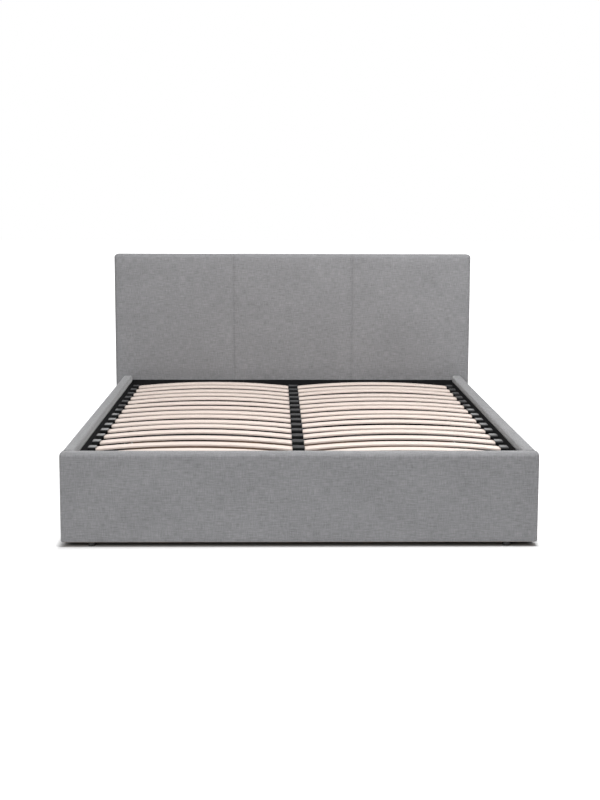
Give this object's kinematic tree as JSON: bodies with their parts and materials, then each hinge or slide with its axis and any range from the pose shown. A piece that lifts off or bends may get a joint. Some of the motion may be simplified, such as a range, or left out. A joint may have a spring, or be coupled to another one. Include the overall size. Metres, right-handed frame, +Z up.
{
  "type": "ottoman storage bed",
  "caption": "Upholstered ottoman bed frame whose sprung slat platform lifts at the foot on paired arms and gas struts.",
  "frame": {"origin": "on the floor under the middle of the bed's overall box", "axes": "+Z up, +Y towards the headboard, +X to the right seen from the foot end"},
  "size_m": [1.675, 2.135, 0.895],
  "materials": {
    "upholstery": "woven, matt",
    "black_lining": "matt",
    "dust_cloth": "non-woven, matt",
    "foam": "open foam",
    "carcass_board": "raw board",
    "softwood": "planed",
    "floor_board": "hardboard",
    "slat_wood": "sealed beech",
    "frame_black": "satin powder coat",
    "bright_zinc": "zinc plated",
    "rod_chrome": "polished",
    "holder_plastic": "moulded",
    "glide_plastic": "moulded",
    "block_rubber": "moulded"
  },
  "bodies": {
    "base": {"headboard_posts": "softwood", "headboard_rails": "softwood", "headboard_board": "carcass_board", "headboard_foam": "foam", "headboard_cover": "upholstery", "headboard_dust_cloth": "dust_cloth", "headboard_lining": "black_lining", "rail_board_left": "carcass_board", "rail_board_right": "carcass_board", "rail_cover_left": "upholstery", "rail_cover_right": "upholstery", "rail_lining_left": "black_lining", "rail_lining_right": "black_lining", "foot_panel_board": "carcass_board", "foot_panel_cover": "upholstery", "foot_panel_lining": "black_lining", "floor_ledge_left": "softwood", "floor_ledge_right": "softwood", "floor_panel_head": "floor_board", "floor_panel_foot": "floor_board", "centre_beam": "softwood", "glides": "glide_plastic", "corner_brackets": "frame_black", "corner_bolts": "bright_zinc", "rest_blocks": "block_rubber", "base_plate_left": "frame_black", "base_plate_right": "frame_black", "base_plate_screws": "bright_zinc", "base_pivot_pins": "bright_zinc", "base_strut_studs": "bright_zinc"},
    "platform": {"lift_bracket_left": "frame_black", "lift_bracket_right": "frame_black", "lift_bracket_bolts": "bright_zinc", "platform_pivot_pins": "bright_zinc", "platform_strut_studs": "bright_zinc", "side_bar_left": "frame_black", "side_bar_right": "frame_black", "bar_end_caps": "holder_plastic", "head_bar": "frame_black", "foot_bar": "frame_black", "centre_bar": "frame_black", "cross_bars": "frame_black", "slats_left": "slat_wood", "slats_right": "slat_wood", "slat_holders_left": "holder_plastic", "slat_holders_right": "holder_plastic", "slat_holders_centre": "holder_plastic"},
    "front_arm_left": {"front_arm_left": "frame_black"},
    "rear_arm_left": {"rear_arm_left": "frame_black"},
    "strut_rod_left": {"strut_rod_left": "rod_chrome", "strut_rod_eye_left": "bright_zinc"},
    "strut_cylinder_left": {"strut_cylinder_left": "frame_black", "strut_cylinder_eye_left": "bright_zinc"},
    "front_arm_right": {"front_arm_right": "frame_black"},
    "rear_arm_right": {"rear_arm_right": "frame_black"},
    "strut_rod_right": {"strut_rod_right": "rod_chrome", "strut_rod_eye_right": "bright_zinc"},
    "strut_cylinder_right": {"strut_cylinder_right": "frame_black", "strut_cylinder_eye_right": "bright_zinc"}
  },
  "joints": [
    {"name": "lift_left", "type": "hinge", "parent": "base", "child": "front_arm_left", "pos_m": [-0.7505, 0.15, 0.055], "axis": [1, 0, 0], "range_deg": [0, 35.2]},
    {"name": "platform_tilt", "type": "hinge", "parent": "front_arm_left", "child": "platform", "pos_m": [-0.7505, 0.695, 0.185], "axis": [1, 0, 0], "range_deg": [-71.3, 0]},
    {"name": "lift_right", "type": "hinge", "parent": "base", "child": "front_arm_right", "pos_m": [0.7505, 0.15, 0.055], "axis": [1, 0, 0], "range_deg": [0, 35.2]},
    {"name": "rear_arm_pivot_left", "type": "hinge", "parent": "base", "child": "rear_arm_left", "pos_m": [-0.755, 0.419, 0.148], "axis": [1, 0, 0], "range_deg": [0, 46.7]},
    {"name": "strut_foot_pivot_left", "type": "hinge", "parent": "base", "child": "strut_rod_left", "pos_m": [-0.73, 0.614, 0.05], "axis": [1, 0, 0], "range_deg": [0, 51]},
    {"name": "strut_head_pivot_left", "type": "hinge", "parent": "platform", "child": "strut_cylinder_left", "pos_m": [-0.73, 0.837, 0.201], "axis": [1, 0, 0], "range_deg": [0, 87]},
    {"name": "rear_arm_pivot_right", "type": "hinge", "parent": "base", "child": "rear_arm_right", "pos_m": [0.755, 0.419, 0.148], "axis": [1, 0, 0], "range_deg": [0, 46.7]},
    {"name": "strut_foot_pivot_right", "type": "hinge", "parent": "base", "child": "strut_rod_right", "pos_m": [0.73, 0.614, 0.05], "axis": [1, 0, 0], "range_deg": [0, 51]},
    {"name": "strut_head_pivot_right", "type": "hinge", "parent": "platform", "child": "strut_cylinder_right", "pos_m": [0.73, 0.837, 0.201], "axis": [1, 0, 0], "range_deg": [0, 87]}
  ],
  "couplings": [
    {"joint": "platform_tilt", "follows": "lift_left", "ratio": -2.0223},
    {"joint": "lift_right", "follows": "lift_left", "ratio": 1},
    {"joint": "rear_arm_pivot_left", "follows": "lift_left", "ratio": 1.3239},
    {"joint": "strut_foot_pivot_left", "follows": "lift_left", "ratio": 1.4472},
    {"joint": "strut_head_pivot_left", "follows": "lift_left", "ratio": 2.4696},
    {"joint": "rear_arm_pivot_right", "follows": "lift_left", "ratio": 1.3239},
    {"joint": "strut_foot_pivot_right", "follows": "lift_left", "ratio": 1.4472},
    {"joint": "strut_head_pivot_right", "follows": "lift_left", "ratio": 2.4696}
  ]
}
